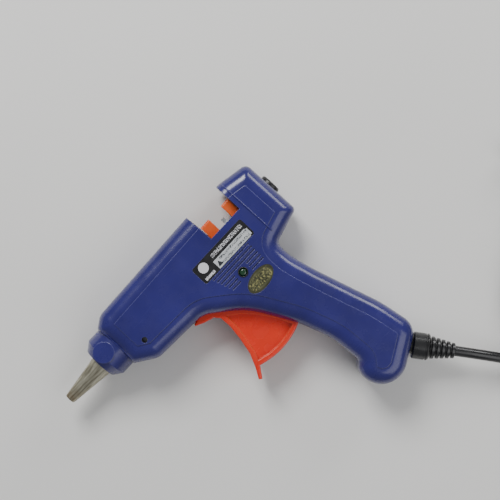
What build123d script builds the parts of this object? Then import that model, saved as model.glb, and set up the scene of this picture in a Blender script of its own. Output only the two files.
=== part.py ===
from build123d import *
import os
from math import cos, pi, radians, sin, tan

# Small hot-melt glue gun for 7 mm sticks, lying on its right side, in millimetres.
# The gun's own axes: x runs from the nozzle tip to the rear, y points to the gun's top,
# z to its left side. The glue stick's axis is y = z = 0 and the shells part at z = 0.

# ---------------------------------------------------------------- driving dimensions
GUN_LENGTH = 140.5        # nozzle tip to the rear of the stick inlet
TOP_Y = 18.0              # highest point of the housing above the stick axis
BOTTOM_Y = -106.2         # lowest point of the handle
HALF_THICK = 14.0         # stick axis to the flat side panels
PANEL_PROUD = 0.4         # the side panel stands this far above the shell round it
SHELL = HALF_THICK - PANEL_PROUD
BAND_R = 7.0              # rounding of the shell's outer edge
PANEL_INSET = 8.0         # outer edge to the side panel
WALL = 2.0
DEEP_INSET = 4.6          # inset of the cavity where the rounded edge is thin
DEEP_FROM = 8.0           # height at which that deeper cavity starts
CAVITY_TOP = 11.5

NOSE_FRONT = 22.5
NOSE_R = 11.3
NOSE_Y = 1.1              # the nose is round about this height
NOSE_DISC, NOSE_DISC_R, NOSE_DISC_Z = (28.4, 3.0), 5.0, 11.6

STICK_BORE_R = 3.8
NOTCH_X0, NOTCH_X1, NOTCH_Y = 101.5, 120.8, 2.4
# inner ribs across the barrel: x, thickness, lowest and highest y, radius of the hole
RIBS = [(38.6, 1.4, -12.0, 13.4, 6.1), (60.6, 1.4, -14.6, 13.6, 7.7), (NOTCH_X1, 1.6, -9.0, 15.0, 4.3)]

PIVOT = (86.7, -20.5)     # trigger pivot
PIVOT_PIN_R, PIVOT_PIN_HALF = 2.5, 11.6
TRIGGER_REACH = 36.6      # radius of the trigger's lower edge about its pivot
TRIGGER_HALF = 6.0
WEB_HALF = 3.2            # half thickness inside the recess on each side
SQUEEZE_DEG = 18.0
LEVER_LEN = 20.5 / cos(radians(SQUEEZE_DEG / 2))   # pivot to carriage trunnion
TRUNNION_X = PIVOT[0] + 20.5 * tan(radians(SQUEEZE_DEG / 2))
TRUNNION_R = 2.0
TINE_IN, TINE_OUT = 5.3, 7.3
RUNNING_GAP = 0.15
SPRING_Y = -13.2
SPRING_ARM = (SPRING_Y - PIVOT[1]) / cos(radians(SQUEEZE_DEG / 2))
TRIGGER_POST = (PIVOT[0] + SPRING_ARM * sin(radians(SQUEEZE_DEG / 2)), SPRING_Y)
HOUSING_POST = (108.5, SPRING_Y)

CARRIAGE_X0, CARRIAGE_X1 = 83.0, 120.5
CARRIAGE_HALF = 5.0
LUG_HALF = 7.0
LUGS = [(101.7, 107.3, 9.8), (115.8, CARRIAGE_X1, 10.0)]     # from x, to x, top
LUG_BOTTOM = -9.6
JAW_X, JAW_PIN_Y, JAW_PIN_R = 112.0, -5.7, 0.88

LAMP, LAMP_HOLE_R = (100.4, -19.0), 1.95
LABEL_CENTRE, LABEL_SIZE = (101.0, -5.7), (32.8, 9.4)
SEAL_CENTRE, SEAL_TURN, SEAL_RADII = (103.7, -27.1), 6.0, (7.9, 4.3)
STICKER_SEAT, STICKER_THICK = HALF_THICK - 0.2, 0.26     # stickers sit in shallow recesses
STAND_HOLE, STAND_HOLE_R = (46.1, -7.0), 1.4
VENTS, VENT_TOP_Y, VENT_PITCH, VENT_WIDTH = 6, -11.6, 1.9, 0.8
VENT_FRONT_X, VENT_LEAN, VENT_REAR_X = 88.0, 0.6, 112.0
VENT_GAP = (96.6, 104.2)                                 # left plain round the lamp

SCREWS = [(56.0, 11.0), (129.5, -9.0), (104.0, -27.1), (113.6, -72.0), (112.5, -95.5)]
BOSS_R = 4.3
SHANK_R = 1.4
HEAD_R, HEAD_H = 2.8, 1.6
HEAD_SEAT = 10.2          # depth of the screw-head seat from the parting plane

CORD_R = 2.5
CORD_DIR = (0.5708, -0.8211)     # direction in which the cord leaves the butt
BUTT_EXIT = (129.3, -100.7)      # where it crosses the housing wall
RELIEF_IN, RELIEF_OUT = 5.0, 21.0    # the strain relief's ends, from the housing wall
RELIEF_NECK_R, RELIEF_COLLAR_R, RELIEF_TIP_R = 4.3, 6.4, 3.6
RELIEF_COLLAR = (0.6, 8.8)           # the collar outside the wall, along the cord
RELIEF_STEP = 0.8                    # the taper starts this much inside the collar
COIL_RADII = (24.5, 29.5, 34.5)  # centrelines of the turns in each layer
COIL_CENTRE = (205.3, -147.1)
LAYER_STEP = 5.0          # one cord diameter, so the upper layer lies on the lower
PLUG_GAP = 23.0           # free lead between the coil and the plug
COIL_TURNS = (1.785, 2.0, 1.6)   # turns at the outer, middle and inner radius, both layers together
PIN_SPACING, PIN_R, PIN_LEN = 19.0, 2.0, 19.0

# The row's origin is the centre of the gun's footprint, on the surface that it lies on.
X0, Y0, Z0 = -GUN_LENGTH / 2, -(TOP_Y + BOTTOM_Y) / 2, HALF_THICK


def at(x, y, z=0.0):
    """A point given in the gun's axes."""
    return Vector(x + X0, y + Y0, z + Z0)


def side_plane(z=0.0):
    """A plane parallel to the parting plane, with the gun's own x and y."""
    return Plane(origin=at(0, 0, z))


def section_plane(x):
    """A plane across the barrel, whose axes are the gun's y and z."""
    return Plane(origin=at(x, 0, 0), x_dir=(0, 1, 0), z_dir=(1, 0, 0))


STICK_AXIS = Axis(at(0, 0, 0), (1, 0, 0))


def save(piece, name):
    piece.part.label = name
    export_step(piece.part, f"parts/{name}.step")


# across the cord where it leaves the butt
exit_plane = Plane(origin=at(*BUTT_EXIT), x_dir=(0, 0, 1), z_dir=(*CORD_DIR, 0))


# ---------------------------------------------------------------- outlines (x, y, corner radius)
HOUSING = [
    (33.8, 12.6, 2), (39.6, 16.4, 8), (101.5, 18.0, 40), (122.5, 17.6, 30), (138.4, 14.6, 3.5),
    (138.9, -16.8, 2.5), (121.4, -21.4, 3), (120.6, -28.5, 30), (124.4, -43.5, 60),
    (134.2, -76.0, 60), (137.4, -95.3, 9), (118.3, -106.2, 11), (102.8, -106.2, 12),
    (102.8, -91.05, 7.4), (107.3, -86.6, 3), (106.3, -71.0, 40), (100.6, -54.0, 60),
    (88.8, -32.0, 40), (73.0, -18.9, 12), (44.0, -17.6, 8), (33.8, -10.6, 2),
]


def outline(corners):
    """The closed outline through these corners, each rounded by its own radius."""
    with BuildLine() as line:
        FilletPolyline(*[(x, y) for x, y, _ in corners], radius=[r for *_, r in corners], close=True)
    return line.line


# ---------------------------------------------------------------- housing
def housing_half(side):
    """One moulded shell: side is 1 for the left shell and -1 for the right one."""
    with BuildPart() as shell:
        with BuildSketch(side_plane()):
            add(outline(HOUSING))
            make_face()
        extrude(amount=side * SHELL)
        rim = shell.faces().filter_by(Axis.Z).sort_by(Axis.Z)[-1 if side > 0 else 0]
        fillet(rim.edges(), BAND_R)
        with BuildSketch(side_plane(side * (SHELL - 0.5))):
            add(outline(HOUSING))
            make_face()
            offset(amount=-PANEL_INSET, kind=Kind.INTERSECTION)
        extrude(amount=side * (PANEL_PROUD + 0.5))
        # round nose with its flat disc
        with BuildSketch(side_plane()):
            with BuildLine():
                Polyline((NOSE_FRONT, NOSE_Y), (NOSE_FRONT, NOSE_Y + 8.4), (26.6, NOSE_Y + NOSE_R),
                         (40.0, NOSE_Y + NOSE_R), (40.0, NOSE_Y), close=True)
            make_face()
        revolve(axis=Axis(at(0, NOSE_Y, 0), (1, 0, 0)))
        with BuildSketch(side_plane()):
            with Locations(NOSE_DISC):
                Circle(NOSE_DISC_R)
        extrude(amount=side * NOSE_DISC_Z)
        # cavity in two depths, following the rounded edge
        for inset, start, end in ((WALL, 0.0, DEEP_FROM), (DEEP_INSET, DEEP_FROM, CAVITY_TOP)):
            with BuildSketch(side_plane(side * start)):
                add(outline(HOUSING))
                make_face()
                offset(amount=-inset, kind=Kind.INTERSECTION)
            extrude(amount=side * (end - start), mode=Mode.SUBTRACT)
        # nose bore with a front lip, and the rear wall's hole
        with BuildSketch(section_plane(23.5)):
            Circle(8.1)
        extrude(amount=15.0, mode=Mode.SUBTRACT)
        with BuildSketch(section_plane(NOSE_FRONT - 1)):
            Circle(5.9)
        extrude(amount=3.0, mode=Mode.SUBTRACT)
        # ribs that carry the melt chamber, its sleeve, and the guide wall of the rear block
        for x, thick, low, high, hole in RIBS:
            with BuildSketch(section_plane(x)):
                with Locations(((low + high) / 2, side * 5.75)):
                    Rectangle(high - low, 11.5)
                Circle(hole, mode=Mode.SUBTRACT)
                if hole > 7:
                    with Locations((-9.0, 0)):
                        Rectangle(6.0, 9.0, mode=Mode.SUBTRACT)
            extrude(amount=thick)
        # bosses: trigger pivot, return-spring post, screws
        with BuildSketch(side_plane(side * 7.6)):
            with Locations(PIVOT):
                Circle(4.2)
        extrude(amount=side * 4.4)
        with BuildSketch(side_plane()):
            with Locations(PIVOT):
                Circle(PIVOT_PIN_R + 0.03)
        extrude(amount=side * 11.8, mode=Mode.SUBTRACT)
        with BuildSketch(side_plane()):
            with Locations(HOUSING_POST):
                Circle(1.15)
        extrude(amount=side * 12.0)
        with BuildSketch(side_plane()):
            with Locations(*SCREWS):
                Circle(BOSS_R if side < 0 else 3.2)
        extrude(amount=side * 12.0)
        with BuildSketch(side_plane()):
            with Locations(*SCREWS):
                Circle(SHANK_R + 0.05)
        extrude(amount=side * (9.0 if side > 0 else HALF_THICK + 1), mode=Mode.SUBTRACT)
        if side < 0:
            with BuildSketch(side_plane(-HEAD_SEAT)):
                with Locations(*SCREWS):
                    Circle(HEAD_R + 0.3)
            extrude(amount=-5.0, mode=Mode.SUBTRACT)
        # the notch behind the barrel, open at the top
        with BuildSketch(side_plane()):
            with BuildLine():
                Polyline((NOTCH_X0, NOTCH_Y), (NOTCH_X1, NOTCH_Y), (NOTCH_X1, 20.0),
                         (NOTCH_X0 - 0.9, 20.0), close=True)
            make_face()
        extrude(amount=side * 20.0, mode=Mode.SUBTRACT)
        # slot that the trigger swings in
        with BuildSketch(side_plane()):
            with Locations(PIVOT):
                Circle(TRIGGER_REACH + 0.8)
            with Locations((85.0, -36.0)):
                Rectangle(39.2, 48.0, mode=Mode.INTERSECT)
        extrude(amount=side * (TRIGGER_HALF + 0.4), mode=Mode.SUBTRACT)
        # stick inlet, stand hole, cord exit
        with BuildSketch(section_plane(130.0)):
            Circle(5.05)
        extrude(amount=12.0, mode=Mode.SUBTRACT)
        with BuildSketch(side_plane(side * 10.0)):
            with Locations(STAND_HOLE):
                Circle(STAND_HOLE_R)
        extrude(amount=side * 6.0, mode=Mode.SUBTRACT)
        with BuildSketch(exit_plane.offset(-6.0)):
            Circle(RELIEF_NECK_R + 0.1)
        extrude(amount=14.0, mode=Mode.SUBTRACT)
        # vent grooves, left out round the lamp
        for i in range(VENTS):
            y = VENT_TOP_Y - VENT_PITCH * i
            front = VENT_FRONT_X + VENT_LEAN * i
            beside_lamp = abs(y - LAMP[1]) < 3.0
            runs = [(front, VENT_REAR_X)]
            if beside_lamp:
                runs = [(front, VENT_GAP[0]), (VENT_GAP[1], VENT_REAR_X)]
            for x_from, x_to in runs:
                with BuildSketch(side_plane(side * (HALF_THICK - 0.6))):
                    with Locations(((x_from + x_to) / 2, y)):
                        SlotOverall(x_to - x_from, VENT_WIDTH)
                extrude(amount=side * 2.0, mode=Mode.SUBTRACT)
        if side > 0:
            with BuildSketch(side_plane(5.0)):
                with Locations(LAMP):
                    Circle(LAMP_HOLE_R)
            extrude(amount=12.0, mode=Mode.SUBTRACT)
            with BuildSketch(side_plane(STICKER_SEAT)):
                with Locations(LABEL_CENTRE):
                    RectangleRounded(LABEL_SIZE[0] + 0.2, LABEL_SIZE[1] + 0.2, 1.2)
            extrude(amount=1.0, mode=Mode.SUBTRACT)
            with BuildSketch(side_plane(STICKER_SEAT)):
                with Locations(Location(SEAL_CENTRE, SEAL_TURN)):
                    Ellipse(SEAL_RADII[0] + 0.1, SEAL_RADII[1] + 0.1)
            extrude(amount=1.0, mode=Mode.SUBTRACT)
        split(bisect_by=side_plane(), keep=Keep.TOP if side > 0 else Keep.BOTTOM)
    return shell


left_housing = housing_half(1)
save(left_housing, "left_housing")
right_housing = housing_half(-1)
save(right_housing, "right_housing")

# ---------------------------------------------------------------- hot end
HEATER_Y = -8.1           # middle of the heater's pocket, below the stick
with BuildPart() as nozzle:
    with BuildSketch(side_plane()):
        with BuildLine():
            Polyline((0.6, 0.9), (0, 1.5), (0, 2.3), (0.5, 2.6), (21.0, 5.3), (22.6, 5.5), (30.0, 5.5),
                     (30.0, 3.9), (36.0, 3.9), (36.0, 2.0), (8.0, 2.0), (3.0, 0.9), close=True)
        make_face()
    revolve(axis=STICK_AXIS)
save(nozzle, "nozzle")

with BuildPart() as nose_collar:
    with BuildSketch(section_plane(23.6)):
        Circle(8.0)
        Circle(5.6, mode=Mode.SUBTRACT)
    extrude(amount=6.4)
save(nose_collar, "nose_collar")

with BuildPart() as melt_chamber:
    with BuildSketch(section_plane(30.1)):
        Circle(6.0)
    extrude(amount=37.9)
    with BuildSketch(section_plane(41.0)):
        with Locations((HEATER_Y, 0)):
            Rectangle(8.2, 13.0)
    extrude(amount=17.0)
    with BuildSketch(section_plane(30.0)):
        Circle(3.95)
    extrude(amount=6.2, mode=Mode.SUBTRACT)
    with BuildSketch(section_plane(36.0)):
        Circle(2.0)
    extrude(amount=4.0, mode=Mode.SUBTRACT)
    with BuildSketch(section_plane(39.5)):
        Circle(STICK_BORE_R)
    extrude(amount=30.0, mode=Mode.SUBTRACT)
    with BuildSketch(section_plane(42.0)):
        with Locations((HEATER_Y, 0)):
            Rectangle(4.2, 9.4)
    extrude(amount=17.0, mode=Mode.SUBTRACT)
save(melt_chamber, "melt_chamber")

with BuildPart() as ptc_heater:
    with Locations(at(50.0, HEATER_Y, 0)):
        Box(14.0, 2.2, 8.0)
save(ptc_heater, "ptc_heater")

with BuildPart() as heater_electrodes:
    with Locations(at(51.0, -6.8, 0)):
        Box(16.0, 0.4, 8.0)
    with Locations(at(58.8, HEATER_Y, -2.6)):
        Box(0.4, 3.0, 2.4)
    with Locations(at(59.6, -9.4, -2.6)):
        Box(2.0, 0.4, 2.4)
    with Locations(at(51.0, -9.4, 0)):
        Box(16.0, 0.4, 8.0)
    with Locations(at(59.8, -9.4, 2.6)):
        Box(1.6, 0.4, 2.4)
save(heater_electrodes, "heater_electrodes")

with BuildPart() as heater_insulation:
    with BuildSketch(section_plane(42.3)):
        with Locations((HEATER_Y, 0)):
            Rectangle(4.1, 9.2)
            Rectangle(3.1, 8.2, mode=Mode.SUBTRACT)
    extrude(amount=16.0)
save(heater_insulation, "heater_insulation")

with BuildPart() as heater_clip:
    with BuildSketch(section_plane(47.0)):
        with Locations((-9.2, 0)):
            Rectangle(7.4, 14.4)
        with Locations((-8.8, 0)):
            Rectangle(6.8, 13.0, mode=Mode.SUBTRACT)
    extrude(amount=6.0)
save(heater_clip, "heater_clip")

with BuildPart() as inlet_sleeve:
    with BuildSketch(side_plane()):
        with BuildLine():
            Polyline((60.0, 6.0), (60.0, 7.6), (67.5, 7.6), (69.5, 6.2), (75.0, 5.6), (75.0, 3.9),
                     (68.1, 3.9), (68.1, 6.0), close=True)
        make_face()
    revolve(axis=STICK_AXIS)
save(inlet_sleeve, "inlet_sleeve")

with BuildPart() as sleeve_clamp:
    with BuildSketch(side_plane()):
        with Locations((64.4, 8.1)):
            Circle(0.5)
    revolve(axis=STICK_AXIS)
save(sleeve_clamp, "sleeve_clamp")

with BuildPart() as stick_inlet_bush:
    with BuildSketch(side_plane()):
        with BuildLine():
            Polyline((133.6, 3.9), (133.6, 6.4), (136.4, 6.4), (136.4, 5.0), (139.9, 5.0), (140.5, 4.5),
                     (140.5, 4.2), (140.1, 3.9), close=True)
        make_face()
    revolve(axis=STICK_AXIS)
save(stick_inlet_bush, "stick_inlet_bush")

# ---------------------------------------------------------------- feed carriage and its jaw
with BuildPart() as feed_carriage:
    with BuildSketch(section_plane(CARRIAGE_X0)):
        Circle(CARRIAGE_HALF)
    extrude(amount=NOTCH_X0 + 1.0 - CARRIAGE_X0)
    for x_from, x_to, top in LUGS:
        with BuildSketch(section_plane(x_from)):
            with Locations(((top + LUG_BOTTOM) / 2, 0)):
                RectangleRounded(top - LUG_BOTTOM, 2 * LUG_HALF, 1.0)
        extrude(amount=x_to - x_from)
    with BuildSketch(section_plane(107.0)):
        with Locations((-8.45, 0)):
            Rectangle(2.3, 2 * LUG_HALF)
    extrude(amount=9.0)
    with BuildSketch(section_plane(110.2)):
        for z in (-6.45, 6.45):
            with Locations((-6.6, z)):
                Rectangle(4.8, 1.1)
    extrude(amount=3.6)
    with BuildSketch(side_plane(-7.6)):
        with Locations((TRUNNION_X, 0)):
            Circle(TRUNNION_R)
    extrude(amount=15.2)
    with BuildSketch(side_plane(-LUG_HALF - 1)):
        with Locations((JAW_X, JAW_PIN_Y)):
            Circle(JAW_PIN_R + 0.04)
    extrude(amount=2 * LUG_HALF + 2, mode=Mode.SUBTRACT)
    with BuildSketch(section_plane(CARRIAGE_X0 - 1)):
        Circle(STICK_BORE_R)
    extrude(amount=CARRIAGE_X1 - CARRIAGE_X0 + 2, mode=Mode.SUBTRACT)
save(feed_carriage, "feed_carriage")

with BuildPart() as grip_jaw:
    with BuildSketch(section_plane(JAW_X - 1.0)):
        Circle(5.5)
        with Locations((-4.3, 0)):
            Rectangle(4.8, 9.6)
        Circle(STICK_BORE_R + 0.1, mode=Mode.SUBTRACT)
    extrude(amount=2.0)
    with BuildSketch(side_plane(-6.0)):
        with Locations((JAW_X, JAW_PIN_Y)):
            Circle(JAW_PIN_R + 0.04)
    extrude(amount=12.0, mode=Mode.SUBTRACT)
save(grip_jaw, "grip_jaw")

with BuildPart() as jaw_pin:
    with BuildSketch(side_plane(-LUG_HALF + 0.1)):
        with Locations((JAW_X, JAW_PIN_Y)):
            Circle(JAW_PIN_R)
    extrude(amount=2 * LUG_HALF - 0.2)
save(jaw_pin, "jaw_pin")

with BuildPart() as jaw_spring:
    with BuildSketch(side_plane(4.95)):
        with Locations((JAW_X, JAW_PIN_Y)):
            Circle(1.5)
            Circle(1.0, mode=Mode.SUBTRACT)
    extrude(amount=0.85)
save(jaw_spring, "jaw_spring")

# ---------------------------------------------------------------- trigger
TRIGGER_FRONT = [(66.2, -19.9), (70.2, -21.9), (75.2, -23.6), (77.2, -26.2), (77.4, -32.0),
                 (76.3, -39.4), (74.4, -47.5), (71.2, -54.2), (68.3, -58.9), (69.7, -60.0)]
TRIGGER_BACK = [(99.4, -40.0), (95.6, -27.0), (91.6, -18.6), (86.7, -15.9), (81.0, -16.2),
                (72.0, -17.6), (66.7, -19.0)]
HOOK_BACK = (73.6, -54.9)
RIM_WIDTH = 2.4
# the recess's upper edge
WEB_TOP = [(79.6, -27.1), (85.6, -31.8), (91.1, -38.5), (95.6, -46.0), (98.6, -53.5)]


def reach_point(angle, radius=TRIGGER_REACH):
    """A point at this angle and radius about the trigger's pivot."""
    return (PIVOT[0] + radius * cos(radians(angle)), PIVOT[1] + radius * sin(radians(angle)))


def trigger_face(inset=0.0):
    """The trigger's side outline, moved inwards by the inset."""
    with BuildSketch() as face:
        with BuildLine():
            Polyline(*TRIGGER_FRONT)
            Line(TRIGGER_FRONT[-1], HOOK_BACK)
            Line(HOOK_BACK, reach_point(-107))
            ThreePointArc(reach_point(-107), reach_point(-88), reach_point(-67))
            Polyline(reach_point(-67), *TRIGGER_BACK)
            Line(TRIGGER_BACK[-1], TRIGGER_FRONT[0])
        make_face()
        if inset:
            offset(amount=-inset, kind=Kind.INTERSECTION)
    return face.sketch


lever_plane = Plane(origin=at(*PIVOT), z_dir=(0, 0, 1),
                    x_dir=(cos(radians(-SQUEEZE_DEG / 2)), sin(radians(-SQUEEZE_DEG / 2)), 0))
with BuildPart() as trigger:
    with BuildSketch(side_plane(-TRIGGER_HALF)):
        add(trigger_face())
    extrude(amount=2 * TRIGGER_HALF)
    fillet(trigger.edges().filter_by(GeomType.LINE).filter_by(Axis.Z, reverse=True).group_by(Axis.Z)[-1], 0.7)
    for side in (-1, 1):
        with BuildSketch(side_plane(side * WEB_HALF)):
            add(trigger_face(RIM_WIDTH))
            with BuildLine():
                Polyline(*WEB_TOP, (WEB_TOP[-1][0], -70.0), (WEB_TOP[0][0] - 20.0, -70.0),
                         (WEB_TOP[0][0] - 20.0, WEB_TOP[0][1]), close=True)
            make_face(mode=Mode.INTERSECT)
        extrude(amount=side * 4.0, mode=Mode.SUBTRACT)
    with BuildSketch(side_plane(-TINE_OUT)):
        with Locations(PIVOT):
            Circle(5.2)
    extrude(amount=2 * TINE_OUT)
    for side in (-1, 1):
        with BuildSketch(lever_plane.offset(side * TINE_IN)):
            with Locations((0, (LEVER_LEN + 3.6) / 2)):
                Rectangle(8.4, LEVER_LEN + 3.6)
            with Locations((0, LEVER_LEN + 2.0)):
                Rectangle(2 * (TRUNNION_R + RUNNING_GAP), 8.6, mode=Mode.SUBTRACT)
        extrude(amount=side * (TINE_OUT - TINE_IN))
    with BuildSketch(lever_plane.offset(-TINE_IN - 0.2)):
        with Locations((0, SPRING_ARM)):
            Circle(0.9)
    extrude(amount=2 * TINE_IN + 0.4)
    with BuildSketch(side_plane(-10.0)):
        with Locations(PIVOT):
            Circle(PIVOT_PIN_R + 0.05)
    extrude(amount=20.0, mode=Mode.SUBTRACT)
save(trigger, "trigger")

with BuildPart() as trigger_pivot_pin:
    with BuildSketch(side_plane(-PIVOT_PIN_HALF)):
        with Locations(PIVOT):
            Circle(PIVOT_PIN_R)
    extrude(amount=2 * PIVOT_PIN_HALF)
save(trigger_pivot_pin, "trigger_pivot_pin")

HOOK_R, SPRING_WIRE, SPRING_R = 1.5, 0.28, 1.7
with BuildPart() as return_spring:
    coil_from, coil_to = TRIGGER_POST[0] + HOOK_R + 0.1, HOUSING_POST[0] - HOOK_R - 0.1
    with BuildLine() as coil_line:
        Helix(pitch=1.3, height=coil_to - coil_from, radius=SPRING_R,
              center=at(coil_from, SPRING_Y), direction=(1, 0, 0))
    with BuildSketch(Plane(origin=coil_line.line @ 0, z_dir=coil_line.line % 0)):
        Circle(SPRING_WIRE)
    sweep(path=coil_line.line, is_frenet=True)
    for end, post in ((0, TRIGGER_POST), (1, HOUSING_POST)):
        with BuildSketch(Plane(origin=at(post[0] + HOOK_R, SPRING_Y), x_dir=(1, 0, 0), z_dir=(0, 1, 0))):
            Circle(SPRING_WIRE)
        revolve(axis=Axis(at(*post), (0, 0, 1)))
        tip = coil_line.line @ end
        middle = Vector(tip.X, SPRING_Y + Y0, Z0)
        with BuildSketch(Plane(origin=middle, z_dir=tip - middle)):
            Circle(SPRING_WIRE)
        extrude(amount=SPRING_R)
save(return_spring, "return_spring")

# ---------------------------------------------------------------- lamp, label and seal
with BuildPart() as indicator_lens:
    with BuildSketch(side_plane(10.0)):
        with Locations(LAMP):
            Circle(1.9)
    extrude(amount=4.3)
    fillet(indicator_lens.faces().sort_by(Axis.Z)[-1].edges(), 1.2)
save(indicator_lens, "indicator_lens")

with BuildPart() as lamp_body:
    with BuildSketch(side_plane(8.0)):
        with Locations(LAMP):
            Circle(2.2)
    extrude(amount=2.0)
save(lamp_body, "lamp_body")

with BuildPart() as lamp_resistor:
    with BuildSketch(section_plane(104.2)):
        with Locations((-21.9, 6.6)):
            Circle(1.1)
    extrude(amount=6.0)
save(lamp_resistor, "lamp_resistor")

with BuildPart() as rating_label:
    with BuildSketch(side_plane(STICKER_SEAT)):
        with Locations(LABEL_CENTRE):
            RectangleRounded(*LABEL_SIZE, 1.1)
    extrude(amount=STICKER_THICK)
save(rating_label, "rating_label")

with BuildPart() as seal_sticker:
    with BuildSketch(side_plane(STICKER_SEAT)):
        with Locations(Location(SEAL_CENTRE, SEAL_TURN)):
            Ellipse(*SEAL_RADII)
    extrude(amount=STICKER_THICK)
save(seal_sticker, "seal_sticker")

# ---------------------------------------------------------------- fasteners and inner wiring
with BuildPart() as housing_screws:
    with BuildSketch(side_plane(-HEAD_SEAT)):
        with Locations(*SCREWS):
            Circle(HEAD_R)
    extrude(amount=-HEAD_H)
    with BuildSketch(side_plane(-HEAD_SEAT)):
        with Locations(*SCREWS):
            Circle(SHANK_R)
    extrude(amount=HEAD_SEAT + 8.0)
save(housing_screws, "housing_screws")

WIRE_R = 0.9
for name, z in (("live_wire", 1), ("neutral_wire", -1)):
    with BuildPart() as wire:
        with BuildLine() as route:
            FilletPolyline(at(122.4, -82.0, z * 1.4), at(120.0, -66.0, z * 5.0), at(116.6, -45.0, z * 8.0),
                           at(112.0, -25.0, z * 9.0), at(104.0, -10.8, z * 9.4), at(82.0, -10.2, z * 9.4),
                           at(72.0, -9.6, z * 3.0), at(64.0, -9.5, z * 2.6), radius=[8, 8, 8, 7, 8, 6])
        with BuildSketch(Plane(origin=route.line @ 0, z_dir=route.line % 0)):
            Circle(WIRE_R)
        sweep(path=route.line)
    save(wire, name)

with BuildPart() as crimp_connectors:
    for z in (-2.6, 2.6):
        with Locations(at(62.3, -9.5, z)):
            Box(3.4, 2.2, 2.4)
save(crimp_connectors, "crimp_connectors")

# ---------------------------------------------------------------- cord
with BuildPart() as strain_relief:
    with BuildSketch(exit_plane.offset(-RELIEF_IN)):
        Circle(RELIEF_NECK_R)
    extrude(amount=RELIEF_IN + RELIEF_COLLAR[0])
    with BuildSketch(exit_plane.offset(RELIEF_COLLAR[0])):
        Circle(RELIEF_COLLAR_R)
    extrude(amount=RELIEF_COLLAR[1] - RELIEF_COLLAR[0])
    with BuildSketch(exit_plane.offset(RELIEF_COLLAR[1])):
        Circle(RELIEF_COLLAR_R - RELIEF_STEP)
    with BuildSketch(exit_plane.offset(RELIEF_OUT)):
        Circle(RELIEF_TIP_R)
    loft()
save(strain_relief, "strain_relief")

with BuildPart() as inner_cord:
    with BuildSketch(exit_plane.offset(-19.0)):
        Circle(CORD_R)
    extrude(amount=19.0 - RELIEF_IN)
save(inner_cord, "inner_cord")

clamp_plane = exit_plane.offset(-13.0)
with BuildPart() as cord_clamp:
    with BuildSketch(clamp_plane):
        Rectangle(17.0, 8.0)
        Circle(CORD_R, mode=Mode.SUBTRACT)
    extrude(amount=4.0)
save(cord_clamp, "cord_clamp")

with BuildPart() as clamp_screws:
    for z in (-6.2, 6.2):
        clamp_screw_plane = Plane(origin=clamp_plane.from_local_coords((z, -4.0, 2.0)),
                                  z_dir=clamp_plane.from_local_coords((z, -5.0, 2.0))
                                  - clamp_plane.from_local_coords((z, -4.0, 2.0)))
        with BuildSketch(clamp_screw_plane):
            Circle(1.7)
        extrude(amount=1.2)
save(clamp_screws, "clamp_screws")

cord_start = (BUTT_EXIT[0] + RELIEF_OUT * CORD_DIR[0], BUTT_EXIT[1] + RELIEF_OUT * CORD_DIR[1])
FLOOR = -HALF_THICK
ENTRY_DIR = (0.66, -0.7513)       # heading with which the cord meets the coil
coil_entry = (COIL_CENTRE[0] + COIL_RADII[-1] * ENTRY_DIR[1], COIL_CENTRE[1] - COIL_RADII[-1] * ENTRY_DIR[0])
CORD_ROUTE = [
    (*cord_start, 0.0),
    (cord_start[0] + 17.0 * CORD_DIR[0], cord_start[1] + 17.0 * CORD_DIR[1], 0.0),
    (coil_entry[0] - 25.0 * ENTRY_DIR[0], coil_entry[1] - 25.0 * ENTRY_DIR[1], FLOOR + CORD_R + 0.6),
    (*coil_entry, FLOOR + CORD_R),
]


def bend_radii(points):
    """The largest arcs that the runs allow: 0.45 of the shorter run over the half turn's tangent."""
    radii = []
    for a, b, c in zip(points, points[1:], points[2:]):
        before, after = b - a, c - b
        half = radians(before.get_angle(after)) / 2
        radii.append(0.45 * min(before.length, after.length) / tan(half))
    return radii


route_points = [at(*p) for p in CORD_ROUTE]
cord_radii = bend_radii(route_points)
print("cord bend radii, mm:", [round(r, 1) for r in cord_radii])
with BuildPart() as power_cord:
    with BuildLine() as route:
        FilletPolyline(*route_points, radius=cord_radii)
    with BuildSketch(Plane(origin=route.line @ 0, z_dir=route.line % 0)):
        Circle(CORD_R)
    sweep(path=route.line)
save(power_cord, "power_cord")
cord_run = route.wires()[0].length
print("cord run, mm:", round(cord_run, 1), "volume ratio",
      round(power_cord.part.volume / (pi * CORD_R ** 2 * cord_run), 4))

coil_plane = Plane(origin=at(*COIL_CENTRE, FLOOR))
COIL_IN, COIL_OUT = COIL_RADII[0] - CORD_R, COIL_RADII[-1] + CORD_R
COIL_HEIGHT = 2 * CORD_R + LAYER_STEP
TIE_ANGLE, TIE_WIDTH, TIE_THICK = 60.0, 6.0, 0.8
tie_plane = Plane(origin=coil_plane.origin, x_dir=(cos(radians(TIE_ANGLE)), sin(radians(TIE_ANGLE)), 0),
                  z_dir=(sin(radians(TIE_ANGLE)), -cos(radians(TIE_ANGLE)), 0))
TIE_MIDDLE = ((COIL_IN + COIL_OUT) / 2, COIL_HEIGHT / 2)
with BuildPart() as cord_coil:
    with BuildSketch(coil_plane):
        Circle(COIL_OUT)
        Circle(COIL_IN, mode=Mode.SUBTRACT)
    extrude(amount=COIL_HEIGHT)
    with BuildSketch(tie_plane.offset(-TIE_WIDTH / 2)):
        with Locations((TIE_MIDDLE[0], TIE_THICK / 2)):
            Rectangle(COIL_OUT - COIL_IN + 4.0, TIE_THICK)
    extrude(amount=TIE_WIDTH, mode=Mode.SUBTRACT)
save(cord_coil, "cord_coil")

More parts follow.
